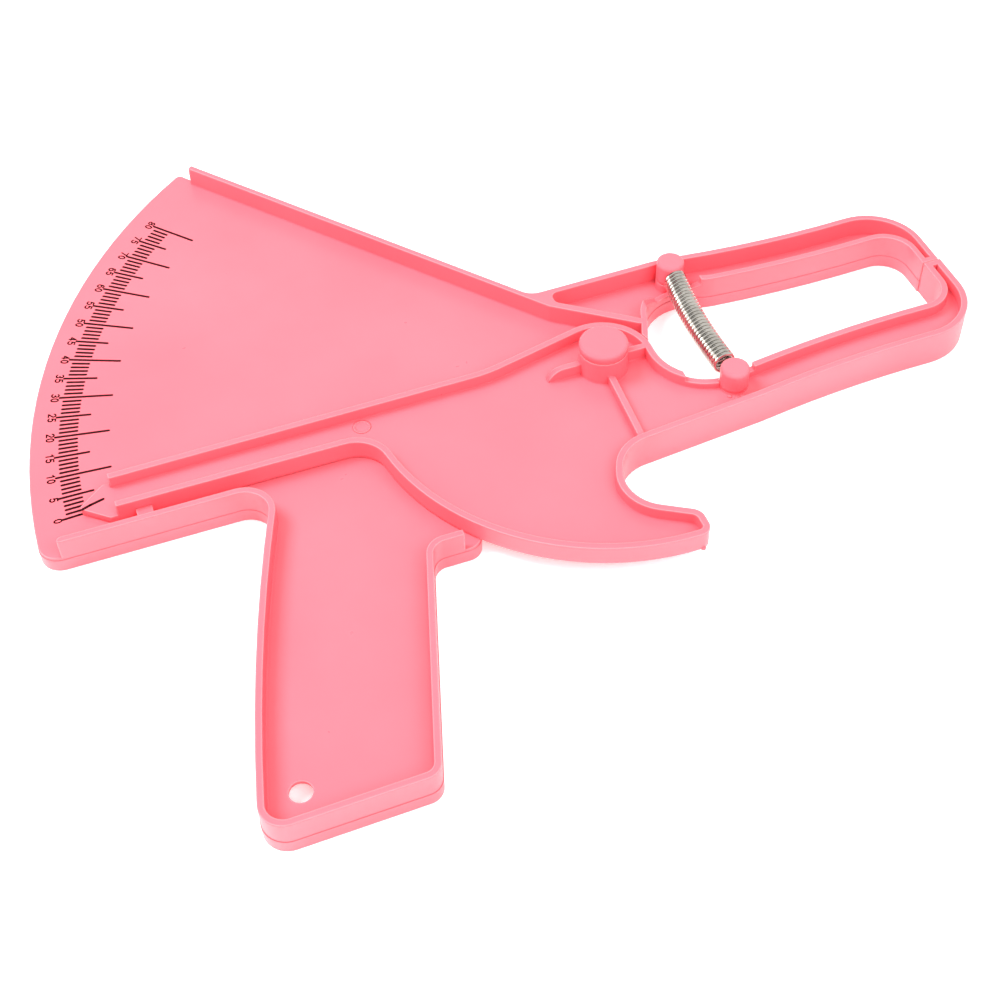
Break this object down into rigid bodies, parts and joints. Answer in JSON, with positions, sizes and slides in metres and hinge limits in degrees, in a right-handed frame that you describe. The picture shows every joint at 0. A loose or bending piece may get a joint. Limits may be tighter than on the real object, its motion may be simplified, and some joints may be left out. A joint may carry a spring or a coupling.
{
  "type": "skinfold caliper",
  "caption": "Pistol-grip skinfold caliper: a flat frame with a curved scale sector and fixed jaw, and a pivoting trigger arm with pointer and moving jaw, held shut by a tension spring.",
  "frame": {"origin": "on the pivot axis, in the plane that the back rims rest on", "axes": "+X towards the jaw tips and -X along the pointer at rest, +Y from the grip towards the scale sector's top, +Z out of the front face"},
  "size_m": [0.264, 0.2416, 0.0167],
  "materials": {
    "pink_plastic": "semi-gloss moulded salmon pink",
    "spring_steel": "bright drawn wire"
  },
  "bodies": {
    "frame_body": {"frame": "pink_plastic", "pivot_pin": "pink_plastic", "pivot_cap": "pink_plastic", "upper_spring_cap": "pink_plastic", "tension_spring": "spring_steel"},
    "trigger_arm": {"moving_arm": "pink_plastic", "lower_spring_cap": "pink_plastic"}
  },
  "joints": [
    {"name": "arm_pivot", "type": "hinge", "parent": "frame_body", "child": "trigger_arm", "pos_m": [0, 0, 0.005], "axis": [0, 0, -1], "range_deg": [0, 48], "stiffness_Nm_per_rad": 0.4, "springref_deg": -17.19, "deforming": ["tension_spring"]}
  ]
}
